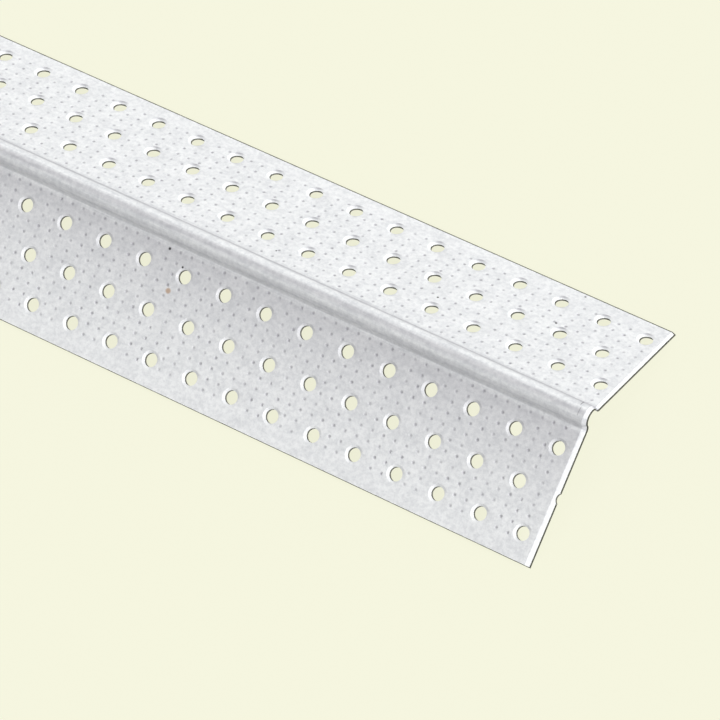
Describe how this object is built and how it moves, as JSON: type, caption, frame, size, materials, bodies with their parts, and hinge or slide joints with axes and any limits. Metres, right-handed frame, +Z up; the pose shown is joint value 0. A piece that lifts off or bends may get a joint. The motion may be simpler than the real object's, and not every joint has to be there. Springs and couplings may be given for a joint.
{
  "type": "drywall corner bead",
  "caption": "Length of galvanised sheet-metal corner bead with two perforated, dimpled flanges meeting at an obtuse angle in a raised rounded nose, for finishing outside wall corners.",
  "frame": {"origin": "middle of the footprint, on the floor midway between the two free edges", "axes": "+X along the length towards the end where the cut runs through a hole, +Y towards the back flange, +Z up through the nose"},
  "size_m": [1.219, 0.0566, 0.0166],
  "materials": {
    "galvanised_sheet": "galvanised, satin"
  },
  "bodies": {
    "root": {"corner_bead": "galvanised_sheet"}
  },
  "joints": []
}
